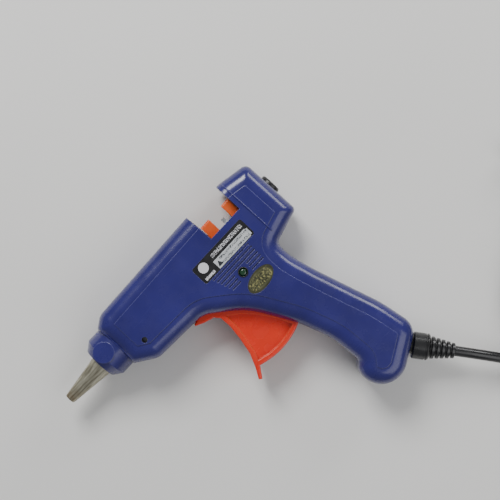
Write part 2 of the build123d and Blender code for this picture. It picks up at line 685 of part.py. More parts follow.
with BuildPart() as cord_tie:
    with BuildSketch(tie_plane.offset(-TIE_WIDTH / 2)):
        with Locations((TIE_MIDDLE[0], (COIL_HEIGHT + TIE_THICK) / 2)):
            Rectangle(COIL_OUT - COIL_IN + 2 * TIE_THICK + 0.4, COIL_HEIGHT + TIE_THICK)
        with Locations((TIE_MIDDLE[0], (COIL_HEIGHT + TIE_THICK) / 2)):
            Rectangle(COIL_OUT - COIL_IN + 0.4, COIL_HEIGHT - TIE_THICK, mode=Mode.SUBTRACT)
    extrude(amount=TIE_WIDTH)
save(cord_tie, "cord_tie")

PLUG_Z = CORD_R + LAYER_STEP
PLUG_X = COIL_CENTRE[0] + COIL_RADII[-1]
PLUG_REAR_Y = COIL_CENTRE[1] + PLUG_GAP


def lead_plane(y):
    """A plane across the plug's lead, looking along the gun's y."""
    return Plane(origin=at(PLUG_X, y, FLOOR + PLUG_Z), x_dir=(1, 0, 0), z_dir=(0, 1, 0))


with BuildPart() as plug_lead:
    with BuildSketch(lead_plane(COIL_CENTRE[1])):
        Circle(CORD_R)
    extrude(amount=PLUG_GAP)
save(plug_lead, "plug_lead")

# distance from the plug's rear, width, thickness, corner radius
PLUG_STATIONS = [(0.0, 9.0, 8.0, 3.9), (12.0, 15.0, 12.0, 5.0),
                 (24.0, 33.0, 14.8, 6.0), (34.0, 34.5, 14.8, 6.5)]
with BuildPart() as plug_body:
    for along, wide, thick, corner in PLUG_STATIONS:
        with BuildSketch(lead_plane(PLUG_REAR_Y + along)):
            RectangleRounded(wide, thick, corner)
    loft(ruled=True)
save(plug_body, "plug_body")

PLUG_FACE_Y = PLUG_REAR_Y + PLUG_STATIONS[-1][0]
with BuildPart() as plug_pins:
    with BuildSketch(lead_plane(PLUG_FACE_Y)):
        with GridLocations(PIN_SPACING, 1, 2, 1):
            Circle(PIN_R)
    extrude(amount=PIN_LEN)
    fillet(plug_pins.faces().sort_by(Axis.Y).filter_by(Axis.Y)[-2:].edges(), 0.9)
save(plug_pins, "plug_pins")

coiled = sum(2 * pi * radius * turns for radius, turns in zip(reversed(COIL_RADII), COIL_TURNS))
print("cord length, mm:", round(cord_run + coiled + PLUG_GAP))
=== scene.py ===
import math

import bpy
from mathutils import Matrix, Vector
from mathutils.bvhtree import BVHTree


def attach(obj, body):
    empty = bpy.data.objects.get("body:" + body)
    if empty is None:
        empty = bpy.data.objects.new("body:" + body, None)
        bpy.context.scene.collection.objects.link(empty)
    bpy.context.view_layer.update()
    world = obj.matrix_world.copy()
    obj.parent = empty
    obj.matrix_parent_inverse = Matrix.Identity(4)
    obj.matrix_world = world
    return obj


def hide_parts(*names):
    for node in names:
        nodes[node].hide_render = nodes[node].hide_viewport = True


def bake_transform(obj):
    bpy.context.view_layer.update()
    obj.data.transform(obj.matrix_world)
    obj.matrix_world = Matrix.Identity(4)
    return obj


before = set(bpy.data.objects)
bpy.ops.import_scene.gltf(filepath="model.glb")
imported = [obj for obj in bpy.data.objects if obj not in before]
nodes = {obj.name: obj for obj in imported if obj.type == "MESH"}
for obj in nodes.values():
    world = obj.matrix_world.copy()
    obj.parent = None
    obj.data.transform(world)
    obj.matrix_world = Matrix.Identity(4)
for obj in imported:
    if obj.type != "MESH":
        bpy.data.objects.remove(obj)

# The looks of a small hot-melt glue gun that lies on its right side, around its CAD model.
# Sizes below are in millimetres. x, y and z are the gun's own axes, as in the CAD source:
# x runs from the nozzle tip to the rear, y points to the gun's top, z to its left side.

MM = 0.001
HALF_THICK = 14.0
GUN_ORIGIN = (-70.25, 44.1, HALF_THICK)     # the gun's own origin, in the row frame
UP = Vector((0, 0, 1))

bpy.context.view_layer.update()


def at(x, y, z=0.0):
    """A point given in the gun's axes, in the row frame in metres."""
    return Vector((x + GUN_ORIGIN[0], y + GUN_ORIGIN[1], z + GUN_ORIGIN[2])) * MM


# ---------------------------------------------------------------- camera
VIEW_CENTRE = (110.1, -14.3)
VIEW_WIDTH, LENS, SENSOR = 237.5, 98.0, 36.0
NEAREST, FURTHEST = 0.01, 20.0     # metres from the camera
VIEW_RIGHT, VIEW_UP = Vector((0.682, -0.7314, 0.0)), Vector((0.7314, 0.682, 0.0))

camera = bpy.data.objects.new("camera", bpy.data.cameras.new("camera"))
bpy.context.scene.collection.objects.link(camera)
camera.data.lens, camera.data.sensor_width = LENS, SENSOR
camera.data.clip_start, camera.data.clip_end = NEAREST, FURTHEST
camera.location = at(*VIEW_CENTRE, VIEW_WIDTH * LENS / SENSOR)
camera.rotation_euler = (0.0, 0.0, math.atan2(VIEW_RIGHT.y, VIEW_RIGHT.x))
bpy.context.scene.camera = camera


# ---------------------------------------------------------------- materials
def srgb(red, green, blue):
    """The linear colour of an 8-bit sRGB one."""
    return tuple(((c / 255 + 0.055) / 1.055) ** 2.4 for c in (red, green, blue)) + (1.0,)


NOISE_LOW, NOISE_HIGH = 0.3, 0.7     # the values that most of a noise lies between
# the cosine between the rounded and the real normal, where an edge's mask begins and where it is full
EDGE_FLAT, EDGE_FULL = 0.995, 0.8
EDGE_SAMPLES = 6


class Shader:
    """A Principled material whose nodes read the row frame."""

    def __init__(self, name, **sockets):
        self.material = bpy.data.materials.new(name)
        self.material.use_nodes = True
        self.tree = self.material.node_tree
        self.surface = self.tree.nodes["Principled BSDF"]
        self.place = self.new("ShaderNodeTexCoord").outputs["Object"]
        for socket, value in sockets.items():
            self.surface.inputs[socket.replace("_", " ")].default_value = value

    def new(self, kind, **settings):
        node = self.tree.nodes.new(kind)
        for key, value in settings.items():
            setattr(node, key, value)
        return node

    def feed(self, socket, value):
        if isinstance(value, bpy.types.NodeSocket):
            self.tree.links.new(value, socket)
        else:
            socket.default_value = value

    def math(self, operation, *values):
        node = self.new("ShaderNodeMath", operation=operation)
        for socket, value in zip(node.inputs, values):
            self.feed(socket, value)
        return node.outputs[0]

    def noise(self, size, stretch=(1, 1, 1), detail=4.0, distortion=0.0):
        """Noise whose lumps are about this many millimetres across, longer where stretch is more."""
        scaled = self.new("ShaderNodeMapping")
        scaled.inputs["Scale"].default_value = [1 / (size * MM * s) for s in stretch]
        self.feed(scaled.inputs["Vector"], self.place)
        node = self.new("ShaderNodeTexNoise")
        self.feed(node.inputs["Vector"], scaled.outputs[0])
        for socket, value in (("Scale", 1.0), ("Detail", detail), ("Distortion", distortion)):
            node.inputs[socket].default_value = value
        return node.outputs["Fac"]

    def remap(self, value, from_low, from_high, low=0.0, high=1.0):
        node = self.new("ShaderNodeMapRange")
        for socket, item in zip(node.inputs, (value, from_low, from_high, low, high)):
            self.feed(socket, item)
        return node.outputs[0]

    def spread(self, value, low=0.0, high=1.0):
        """Noise spread over its usual range, so that it reaches low and high."""
        return self.remap(value, NOISE_LOW, NOISE_HIGH, low, high)

    def mix(self, amount, under, over):
        node = self.new("ShaderNodeMix", data_type="RGBA")
        for socket, value in (("Factor_Float", amount), ("A_Color", under), ("B_Color", over)):
            self.feed(next(i for i in node.inputs if i.identifier == socket), value)
        return next(o for o in node.outputs if o.identifier == "Result_Color")

    def bump(self, height, depth, normal=None):
        """A normal from a height of 0 to 1, which stands for this many millimetres."""
        node = self.new("ShaderNodeBump")
        node.inputs["Distance"].default_value = depth * MM
        self.feed(node.inputs["Height"], height)
        if normal is not None:
            self.feed(node.inputs["Normal"], normal)
        return node.outputs[0]

    def rounded(self, radius):
        """(the normal of edges rounded by this radius, a mask that is 1 on those edges)."""
        bevel = self.new("ShaderNodeBevel", samples=EDGE_SAMPLES)
        bevel.inputs["Radius"].default_value = radius * MM
        facing = self.new("ShaderNodeVectorMath", operation="DOT_PRODUCT")
        self.feed(facing.inputs[0], bevel.outputs[0])
        self.feed(facing.inputs[1], self.new("ShaderNodeNewGeometry").outputs["Normal"])
        return bevel.outputs[0], self.remap(facing.outputs["Value"], EDGE_FLAT, EDGE_FULL)

    def axis(self, index, origin):
        """Millimetres along the row's x, y or z from this place on it."""
        parts = self.new("ShaderNodeSeparateXYZ")
        self.feed(parts.inputs[0], self.place)
        return self.math("MULTIPLY_ADD", parts.outputs[index], 1 / MM, -origin)

    def finish(self, colour, roughness, normal):
        self.feed(self.surface.inputs["Base Color"], colour)
        self.feed(self.surface.inputs["Roughness"], roughness)
        self.feed(self.surface.inputs["Normal"], normal)
        return self.material


SCUFF_RANGE, SCUFF_SHARE, SCUFF_ROUGHER = (0.66, 0.72), 0.35, 0.25
# how far the edges are painted towards their highlight colour
EDGE_HIGHLIGHT_SHARE = 0.6


def moulded(name, dark, light, rough=(0.25, 0.4), grain=0.35, depth=0.02, edge=0.0, edge_highlight=None, **sockets):
    """Moulded plastic or rubber with changes of tone, grain, faint scuffs and, with edge, a painted
    highlight along its edges.
    """
    shader = Shader(name, **sockets)
    tone = shader.spread(shader.noise(22.0, detail=3.0))
    scuffs = shader.noise(3.0, stretch=(5.0, 0.35, 1.0), detail=6.0, distortion=0.6)
    scuff_mask = shader.remap(scuffs, *SCUFF_RANGE, 0.0, SCUFF_SHARE)
    grained = shader.noise(grain, detail=3.0)
    colour = shader.mix(tone, dark, light)
    colour = shader.mix(scuff_mask, colour, light)
    roughness = shader.math("ADD", shader.spread(shader.noise(6.0), *rough),
                            shader.math("MULTIPLY", scuff_mask, SCUFF_ROUGHER))
    normal = None
    if edge:
        normal, edges = shader.rounded(edge)
        # painted highlight: the edges are mixed towards a lighter colour
        colour = shader.mix(shader.math("MULTIPLY", edges, EDGE_HIGHLIGHT_SHARE), colour, edge_highlight or light)
    return shader.finish(colour, roughness, shader.bump(grained, depth, normal))


def metal(name, dark, light, streak=(14.0, 1.0, 1.0)):
    """Bare metal with fine streaks or pitting, and stains. streak says how much longer each axis is."""
    shader = Shader(name, Metallic=1.0)
    streaks = shader.noise(0.5, stretch=streak, detail=5.0)
    stains = shader.noise(7.0, detail=5.0, distortion=0.8)
    colour = shader.mix(shader.spread(streaks), dark, light)
    colour = shader.mix(shader.remap(stains, 0.55, 0.75, 0.0, 0.5), colour, dark)
    roughness = shader.math("ADD", shader.spread(streaks, 0.25, 0.45),
                            shader.remap(stains, 0.5, 0.8, 0.0, 0.15))
    return shader.finish(colour, roughness, shader.bump(streaks, 0.03))


HEAT_TINT_LENGTH = 9.0     # from the nozzle's tip


def nozzle_paint():
    """Turned and cast metal with lengthwise fluting and painted reflections along it, tinted by heat towards
    the tip.
    """
    shader = Shader("nozzle_metal", Metallic=0.9)
    flutes_and_reflections = shader.noise(1.1, stretch=(26.0, 1.0, 1.0), detail=2.0)
    fine = shader.noise(0.25, stretch=(18.0, 1.0, 1.0), detail=4.0)
    tip = shader.remap(shader.axis(0, GUN_ORIGIN[0]), HEAT_TINT_LENGTH, 0.0)
    stain = shader.math("MULTIPLY", tip, shader.remap(shader.noise(2.2, detail=5.0), 0.35, 0.65))
    # painted reflections: the colour runs in light and dark lengthwise bands along the fluting
    colour = shader.mix(shader.remap(flutes_and_reflections, 0.32, 0.68), srgb(126, 121, 104), srgb(196, 192, 172))
    colour = shader.mix(shader.math("MULTIPLY", stain, 0.6), colour, srgb(120, 92, 50))
    roughness = shader.spread(fine, 0.28, 0.5)
    return shader.finish(colour, roughness, shader.bump(fine, 0.02, shader.bump(flutes_and_reflections, 0.15)))


class Print(Shader):
    """A printed sticker. u and v are millimetres from its centre, along x and y."""

    def __init__(self, name, centre, **sockets):
        super().__init__(name, **sockets)
        self.u, self.v = (self.axis(i, centre[i] + GUN_ORIGIN[i]) for i in (0, 1))

    def within(self, value, centre, size):
        return self.math("LESS_THAN", self.math("ABSOLUTE", self.math("SUBTRACT", value, centre)), size / 2)

    def block(self, u, v, wide, high):
        return self.math("MULTIPLY", self.within(self.u, u, wide), self.within(self.v, v, high))

    def disc(self, u, v, radius):
        away = self.math("POWER", self.math("ADD", *[
            self.math("POWER", self.math("ABSOLUTE", self.math("SUBTRACT", value, middle)), 2.0)
            for value, middle in ((self.u, u), (self.v, v))]), 0.5)
        return self.math("LESS_THAN", away, radius)

    def marks(self, mask, size, share):
        """Small irregular marks inside a mask, as fine print looks when it can't be read."""
        strokes = self.math("LESS_THAN", self.noise(size, detail=1.0), share)
        return self.math("MULTIPLY", mask, strokes)


LABEL_CENTRE, SEAL_CENTRE = (101.0, -5.7), (103.7, -27.1)
# Blocks are (u, v, width, height), the disc is (u, v, radius).
# Marks are (block, size of a mark, share of the block that they cover, about).
PANEL_BLOCKS = ((3.9, -2.1, 21.2, 4.6), (4.4, -2.1, 22.2, 3.6))
PANEL_MARKS = [((5.6, v, 18.4, 1.1), 0.42, 0.48) for v in (-0.9, -3.2)]
LABEL_DISC = (-11.8, 1.5, 2.5)
LABEL_MARKS = [((-12.0, -3.2, 6.0, 1.3), 0.45, 0.56), ((4.6, 2.4, 20.0, 1.9), 0.5, 0.49)]
SIGN_U, SIGN_BLOCK = -4.8, (-4.8, -2.3, 3.0, 2.6)
SIGN_FOOT, SIGN_TOP, SIGN_HALF = -3.6, -1.0, 1.5
SEAL_BLOCK = (0.0, 0.0, 12.6, 5.2)
SEAL_HALF_SIZE, SEAL_BORDER_FROM, SEAL_BORDER_SHARE = (7.4, 3.9), 0.84, 0.7


def label_paint():
    """A black rating label with a silver panel, a plain disc and rows of unreadable marks."""
    art = Print("label_print", LABEL_CENTRE, Coat_Weight=0.6, Coat_Roughness=0.15)
    black, white, silver = srgb(5, 5, 6), srgb(205, 205, 208), srgb(166, 170, 172)
    ink = srgb(34, 36, 42)
    mottled = art.spread(art.noise(1.6))
    colour = art.mix(mottled, black, srgb(12, 12, 14))
    panel = art.math("MAXIMUM", *[art.block(*block) for block in PANEL_BLOCKS])
    colour = art.mix(panel, colour, art.mix(mottled, silver, srgb(198, 201, 203)))
    for block, size, share in PANEL_MARKS:
        colour = art.mix(art.marks(art.block(*block), size, share), colour, ink)
    triangle = art.math("MULTIPLY", art.block(*SIGN_BLOCK), art.math(
        "LESS_THAN", art.math("ABSOLUTE", art.math("SUBTRACT", art.u, SIGN_U)),
        art.remap(art.v, SIGN_FOOT, SIGN_TOP, SIGN_HALF, 0.0)))
    colour = art.mix(triangle, colour, ink)
    for shape in (art.disc(*LABEL_DISC),
                  *[art.marks(art.block(*block), size, share) for block, size, share in LABEL_MARKS]):
        colour = art.mix(shape, colour, white)
    roughness = art.spread(art.noise(2.5, detail=5.0), 0.22, 0.42)
    return art.finish(colour, roughness, art.bump(art.noise(0.5), 0.01))


def seal_paint():
    """A dull olive foil seal covered in fine marks."""
    art = Print("seal_print", SEAL_CENTRE, Metallic=0.35)
    foil = art.mix(art.spread(art.noise(3.0, detail=5.0)), srgb(66, 68, 44), srgb(104, 104, 74))
    border = art.math("GREATER_THAN", art.math("ADD", *[
        art.math("POWER", art.math("ABSOLUTE", art.math("DIVIDE", value, half)), 2.0)
        for value, half in zip((art.u, art.v), SEAL_HALF_SIZE)]), SEAL_BORDER_FROM)
    colour = art.mix(art.marks(art.block(*SEAL_BLOCK), 0.7, 0.47), foil, srgb(38, 38, 20))
    colour = art.mix(art.marks(art.block(*SEAL_BLOCK), 0.9, 0.42), colour, srgb(140, 136, 88))
    colour = art.mix(art.math("MULTIPLY", border, SEAL_BORDER_SHARE), colour, srgb(46, 46, 28))
    roughness = art.spread(art.noise(0.6), 0.3, 0.55)
    return art.finish(colour, roughness, art.bump(art.noise(0.35), 0.02))


RECESS_HALF_LENGTH, RECESS_HALF_WIDTH = 1.7, 0.38


def screw_paint(centres):
    """Zinc-plated screws with a cross recess in each head, bumped in and painted dark as shade."""
    shader = Shader("screw_zinc", Metallic=1.0)
    u, v = (shader.axis(i, GUN_ORIGIN[i]) for i in (0, 1))
    cross = None
    for x, y in centres:
        near = [shader.math("ABSOLUTE", shader.math("SUBTRACT", value, middle))
                for value, middle in ((u, x), (v, y))]
        for along, across in (near, near[::-1]):
            bar = shader.math("MULTIPLY", shader.math("LESS_THAN", along, RECESS_HALF_LENGTH),
                              shader.math("LESS_THAN", across, RECESS_HALF_WIDTH))
            cross = bar if cross is None else shader.math("MAXIMUM", cross, bar)
    plating = shader.mix(shader.remap(shader.noise(1.5, detail=5.0), 0.35, 0.65),
                         srgb(150, 146, 138), srgb(200, 197, 188))
    # painted shade: the cross recess is coloured dark
    colour = shader.mix(cross, plating, srgb(40, 38, 36))
    roughness = shader.spread(shader.noise(0.4), 0.25, 0.45)
    return shader.finish(colour, roughness, shader.bump(shader.math("SUBTRACT", 1.0, cross), 0.5))


# the centres of the housing screws
SCREWS = [(56.0, 11.0), (129.5, -9.0), (104.0, -27.1), (113.6, -72.0), (112.5, -95.5)]
# the third blue is the housing's painted edge highlight
BLUE, BLUE_LIGHT, BLUE_EDGE_HIGHLIGHT = srgb(27, 25, 92), srgb(36, 34, 108), srgb(112, 112, 170)
ORANGE, ORANGE_LIGHT = srgb(220, 78, 14), srgb(238, 104, 30)
BLACK, BLACK_LIGHT = srgb(14, 14, 15), srgb(30, 30, 32)

# each edge colour given to moulded() below is a painted highlight along that part's edges
paints = {
    "housing_blue": moulded("housing_blue", BLUE, BLUE_LIGHT, rough=(0.2, 0.32), depth=0.012, edge=0.35,
                            edge_highlight=BLUE_EDGE_HIGHLIGHT, Coat_Weight=0.35, Coat_Roughness=0.12),
    "nozzle_metal": nozzle_paint(),
    "chamber_metal": metal("chamber_metal", srgb(120, 122, 124), srgb(176, 178, 180)),
    "collar_plastic": moulded("collar_plastic", srgb(24, 22, 24), srgb(44, 40, 42), rough=(0.35, 0.55)),
    "ceramic": moulded("ceramic", srgb(196, 188, 170), srgb(226, 220, 206), rough=(0.5, 0.7), depth=0.03),
    "contact_brass": metal("contact_brass", srgb(156, 120, 56), srgb(206, 172, 92)),
    "insulation_film": moulded("insulation_film", srgb(150, 86, 20), srgb(190, 118, 36), rough=(0.15, 0.25),
                               Transmission_Weight=0.3),
    "silicone": moulded("silicone", srgb(188, 190, 186), srgb(214, 216, 212), rough=(0.4, 0.55),
                        Subsurface_Weight=0.2, Subsurface_Scale=0.002),
    "spring_steel": metal("spring_steel", srgb(110, 112, 116), srgb(180, 182, 188), streak=(1.0, 1.0, 1.0)),
    "carriage_orange": moulded("carriage_orange", ORANGE, ORANGE_LIGHT, edge=0.3, edge_highlight=srgb(246, 150, 90),
                               Subsurface_Weight=0.15, Subsurface_Scale=0.002),
    "trigger_red": moulded("trigger_red", srgb(206, 34, 4), srgb(222, 50, 12), rough=(0.2, 0.34), edge=0.7,
                           edge_highlight=srgb(246, 110, 62), Coat_Weight=0.3, Coat_Roughness=0.1,
                           Subsurface_Weight=0.2, Subsurface_Scale=0.003),
    "bush_black": moulded("bush_black", BLACK, BLACK_LIGHT, edge=0.2, edge_highlight=srgb(70, 70, 74)),
    "lens_green": moulded("lens_green", srgb(10, 48, 26), srgb(24, 96, 48), rough=(0.06, 0.14), depth=0.004,
                          Transmission_Weight=0.4, Coat_Weight=0.8),
    "lamp_white": moulded("lamp_white", srgb(206, 204, 196), srgb(230, 228, 222), rough=(0.35, 0.5)),
    "label_print": label_paint(),
    "seal_print": seal_paint(),
    "wire_brown": moulded("wire_brown", srgb(78, 42, 20), srgb(112, 64, 34), rough=(0.35, 0.5)),
    "wire_blue": moulded("wire_blue", srgb(22, 72, 150), srgb(44, 104, 186), rough=(0.35, 0.5)),
    "cord_black": moulded("cord_black", BLACK, BLACK_LIGHT, rough=(0.22, 0.38), grain=0.6, depth=0.03,
                          Coat_Weight=0.3, Coat_Roughness=0.2),
    "plug_black": moulded("plug_black", BLACK, BLACK_LIGHT, rough=(0.3, 0.45), grain=0.4, depth=0.03,
                          edge=0.4, edge_highlight=srgb(64, 64, 68)),
    "pin_nickel": metal("pin_nickel", srgb(150, 148, 144), srgb(210, 208, 204), streak=(1.0, 12.0, 1.0)),
    "screw_zinc": screw_paint(SCREWS),
    "tie_black": moulded("tie_black", srgb(22, 22, 24), srgb(44, 44, 48), rough=(0.35, 0.5), edge=0.2,
                         edge_highlight=srgb(80, 80, 84)),
}

NODE_SLOTS = {
    "housing_blue": ("left_housing", "right_housing"),
    "nozzle_metal": ("nozzle",),
    "chamber_metal": ("melt_chamber",),
    "collar_plastic": ("nose_collar",),
    "ceramic": ("ptc_heater",),
    "contact_brass": ("heater_electrodes",),
    "insulation_film": ("heater_insulation",),
    "silicone": ("inlet_sleeve",),
    "spring_steel": ("heater_clip", "sleeve_clamp", "jaw_pin", "jaw_spring", "trigger_pivot_pin",
                     "return_spring", "grip_jaw"),
    "carriage_orange": ("feed_carriage",),
    "trigger_red": ("trigger",),
    "bush_black": ("stick_inlet_bush", "cord_clamp"),
    "lens_green": ("indicator_lens",),
    "lamp_white": ("lamp_body", "lamp_resistor", "crimp_connectors"),
    "label_print": ("rating_label",),
    "seal_print": ("seal_sticker",),
    "wire_brown": ("live_wire",),
    "wire_blue": ("neutral_wire",),
    "cord_black": ("inner_cord",),
    "pin_nickel": ("plug_pins",),
    "screw_zinc": ("housing_screws", "clamp_screws"),
}
for paint, names in NODE_SLOTS.items():
    for name in names:
        nodes[name].data.materials.clear()
        nodes[name].data.materials.append(paints[paint])


# ---------------------------------------------------------------- mesh helpers
def mesh_piece(name, points, faces, slot, sharp=35.0):
    """A new shaded mesh that rides on the gun's body."""
    mesh = bpy.data.meshes.new(name)
    mesh.from_pydata([tuple(p) for p in points], [], faces)
    mesh.validate()
    mesh.materials.append(paints[slot])
    mesh.shade_smooth()
    mesh.set_sharp_from_angle(angle=math.radians(sharp))
    piece = bpy.data.objects.new(name, mesh)
    bpy.context.scene.collection.objects.link(piece)
    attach(piece, "gun")
    return piece


def skin(loops, close_ends=True):
    """Faces over loops of equal count, in order, with the end loops filled in."""
    count = len(loops[0])
    points = [p for loop in loops for p in loop]
    faces = [(first + j, first + (j + 1) % count, first + count + (j + 1) % count, first + count + j)
             for first in range(0, len(points) - count, count) for j in range(count)]
    if close_ends:
        faces += [tuple(reversed(range(count))), tuple(range(len(points) - count, len(points)))]
    return points, faces


def lathe(profile, start, heading, segments=64):
    """Loops of a turned shape: profile is (distance along heading, radius) in millimetres."""
    across = heading.cross(UP).normalized()
    up = across.cross(heading).normalized()
    turns = [2 * math.pi * i / segments for i in range(segments)]
    return [[start + heading * along * MM + (across * math.cos(a) + up * math.sin(a)) * radius * MM
             for a in turns] for along, radius in profile]


# ---------------------------------------------------------------- cord (route as in the CAD source)
CORD_R = 2.5
CORD_DIR = Vector((0.5708, -0.8211, 0.0))
BUTT_EXIT = (129.3, -100.7)
RELIEF_IN, RELIEF_OUT = 5.0, 21.0
COIL_RADII = (24.5, 29.5, 34.5)
COIL_CENTRE = (205.3, -147.1)
LAYER_STEP, PLUG_GAP = 5.0, 23.0
ENTRY_DIR = Vector((0.66, -0.7513, 0.0))
FLOOR_Z = -HALF_THICK
FREE_RUN, ENTRY_RUN, ENTRY_LIFT = 17.0, 25.0, 0.6     # control points between the gun and the coil
LEAD_FROM, LEAD_INTO_PLUG = 4.0, 2.0                  # and between the coil and the plug
POINTS_PER_TURN = 24
# Turns are counted from where the cord meets the coil. The lower layer winds inwards and the upper one
# outwards, and these are the turns at which the cord steps from one ring to the next.
INWARD_STEPS, CLIMB, OUTWARD_STEPS = (0.9, 1.9), 2.7, (3.5, 4.5)
STEP_TURNS, CLIMB_TURNS = 0.16, 0.2
COIL_TURNS = 5.385


def ramp(turn, middle, width=STEP_TURNS):
    """0 before a step, 1 after it, and smooth between."""
    share = min(max((turn - middle) / width + 0.5, 0.0), 1.0)
    return share * share * (3 - 2 * share)


def coil_point(turn):
    """The centreline of the coil after this many turns, in the gun's axes."""
    spacing = COIL_RADII[1] - COIL_RADII[0]
    steps = sum(ramp(turn, t) for t in INWARD_STEPS) - sum(ramp(turn, t) for t in OUTWARD_STEPS)
    radius = (COIL_RADII[-1] - spacing * steps) / math.cos(math.pi / POINTS_PER_TURN)
    angle = math.atan2(-ENTRY_DIR.x, ENTRY_DIR.y) + 2 * math.pi * turn
    height = FLOOR_Z + CORD_R + LAYER_STEP * ramp(turn, CLIMB, CLIMB_TURNS)
    return COIL_CENTRE[0] + radius * math.cos(angle), COIL_CENTRE[1] + radius * math.sin(angle), height


relief_start = at(*BUTT_EXIT) - CORD_DIR * RELIEF_IN * MM
cord_start = (BUTT_EXIT[0] + RELIEF_OUT * CORD_DIR.x, BUTT_EXIT[1] + RELIEF_OUT * CORD_DIR.y)
coil_entry = (COIL_CENTRE[0] + COIL_RADII[-1] * ENTRY_DIR.y, COIL_CENTRE[1] - COIL_RADII[-1] * ENTRY_DIR.x)
plug_x, plug_z = COIL_CENTRE[0] + COIL_RADII[-1], FLOOR_Z + CORD_R + LAYER_STEP
plug_rear_y = COIL_CENTRE[1] + PLUG_GAP
coil_count = round(COIL_TURNS * POINTS_PER_TURN)
route = [
    (*cord_start, 0.0),
    (cord_start[0] + FREE_RUN * CORD_DIR.x, cord_start[1] + FREE_RUN * CORD_DIR.y, 0.0),
    (coil_entry[0] - ENTRY_RUN * ENTRY_DIR.x, coil_entry[1] - ENTRY_RUN * ENTRY_DIR.y,
     FLOOR_Z + CORD_R + ENTRY_LIFT),
    *[coil_point(COIL_TURNS * (i + 0.5) / coil_count) for i in range(coil_count)],
    (plug_x, COIL_CENTRE[1] + LEAD_FROM, plug_z),
    (plug_x, plug_rear_y + LEAD_INTO_PLUG, plug_z),
]
cord_path = [at(*p) for p in route]

curve = bpy.data.curves.new("cord", "CURVE")
curve.dimensions = "3D"
curve.bevel_depth, curve.bevel_resolution, curve.resolution_u = CORD_R * MM, 6, 8
curve.use_fill_caps = True
spline = curve.splines.new("NURBS")
spline.points.add(len(cord_path) - 1)
for point, place in zip(spline.points, cord_path):
    point.co = (*place, 1.0)
spline.order_u = 3
spline.use_endpoint_u = True
curve.materials.append(paints["cord_black"])
cord = bpy.data.objects.new("cord", curve)
bpy.context.scene.collection.objects.link(cord)
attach(cord, "gun")
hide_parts("power_cord", "cord_coil", "plug_lead")


# ---------------------------------------------------------------- strain relief
RELIEF_NECK_R, RELIEF_COLLAR_R, RELIEF_TIP_R = 4.3, 6.4, 3.6
COLLAR_FROM, COLLAR_TO, COLLAR_ROUND = 0.6, 8.8, 0.6
COLLAR_GROOVE_FROM, COLLAR_GROOVE_TO, COLLAR_GROOVE_DEPTH, GROOVE_SLOPE = 6.6, 7.5, 0.35, 0.2
RIBS, RIB_DEPTH, RIB_MIN_WALL = 5, 1.1, 0.35
RIB_R = RELIEF_COLLAR_R - 0.8
groove_r = RELIEF_COLLAR_R - COLLAR_GROOVE_DEPTH
# (distance along the cord, radius): a neck in the butt, a smooth collar with one shallow groove, then ribs
relief_profile = [(0.0, 2.6), (0.3, RELIEF_NECK_R - 0.2), (0.7, RELIEF_NECK_R)]
relief_profile += [(RELIEF_IN + along, radius) for along, radius in (
    (COLLAR_FROM, RELIEF_NECK_R), (COLLAR_FROM, RELIEF_COLLAR_R - COLLAR_ROUND),
    (COLLAR_FROM + COLLAR_ROUND, RELIEF_COLLAR_R),
    (COLLAR_GROOVE_FROM, RELIEF_COLLAR_R), (COLLAR_GROOVE_FROM + GROOVE_SLOPE, groove_r),
    (COLLAR_GROOVE_TO - GROOVE_SLOPE, groove_r), (COLLAR_GROOVE_TO, RELIEF_COLLAR_R),
    (COLLAR_TO - 0.7, RELIEF_COLLAR_R), (COLLAR_TO, RIB_R))]
rib_pitch = (RELIEF_OUT - COLLAR_TO) / RIBS
for rib in range(RIBS):
    from_wall = COLLAR_TO + rib * rib_pitch
    radius = RIB_R + (RELIEF_TIP_R - RIB_R) * (rib + 0.5) / RIBS
    groove = max(radius - RIB_DEPTH, CORD_R + RIB_MIN_WALL)
    relief_profile += [(RELIEF_IN + from_wall + share * rib_pitch, r) for share, r in (
        (0.12, groove), (0.3, groove), (0.36, radius - 0.25),
        (0.46, radius), (0.9, radius - 0.1), (0.98, radius - 0.35))]
relief_profile.append((RELIEF_IN + RELIEF_OUT, CORD_R + 0.1))
relief = mesh_piece("strain_relief_boot", *skin(lathe(relief_profile, relief_start, CORD_DIR)), "cord_black")
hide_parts("strain_relief")

# ---------------------------------------------------------------- plug and tie
PLUG_LOOP = 48
# distance from the plug's rear, width, thickness and squareness of the section
PLUG_SECTIONS = [(0.0, 6.4, 6.2, 2.0), (0.5, 8.4, 7.6, 2.2), (4.0, 9.6, 8.4, 2.4),
                 (8.0, 11.6, 9.8, 2.6), (12.0, 15.4, 11.8, 2.9), (15.0, 21.0, 13.0, 3.2),
                 (18.0, 27.5, 13.9, 3.6), (21.0, 31.6, 14.4, 4.0), (24.0, 33.4, 14.7, 4.6),
                 (29.0, 34.2, 14.8, 5.2), (33.0, 34.4, 14.8, 5.4), (33.7, 34.0, 14.4, 5.4),
                 (34.0, 33.0, 13.4, 5.4)]
PLUG_FACE = PLUG_SECTIONS[-1][0]
GRIP_GROOVES = [5.0 + 2.0 * i for i in range(5)]     # distances from the plug's rear
GRIP_DEPTH, GRIP_FLOOR, GRIP_EDGE = 0.5, 0.3, 0.45   # depth, and half the width at its floor and edge


def plug_loop(along, wide, thick, power):
    """A rounded section of the plug, across its lead."""
    loop = []
    for i in range(PLUG_LOOP):
        a = 2 * math.pi * i / PLUG_LOOP
        c, s = math.cos(a), math.sin(a)
        loop.append(at(plug_x + math.copysign(abs(c) ** (2 / power), c) * wide / 2, plug_rear_y + along,
                       plug_z + math.copysign(abs(s) ** (2 / power), s) * thick / 2))
    return loop


def plug_size(along):
    """Width, thickness and squareness of the plug at a distance from its rear."""
    for a, b in zip(PLUG_SECTIONS, PLUG_SECTIONS[1:]):
        if a[0] <= along <= b[0]:
            share = (along - a[0]) / (b[0] - a[0])
            return [u + (v - u) * share for u, v in zip(a[1:], b[1:])]


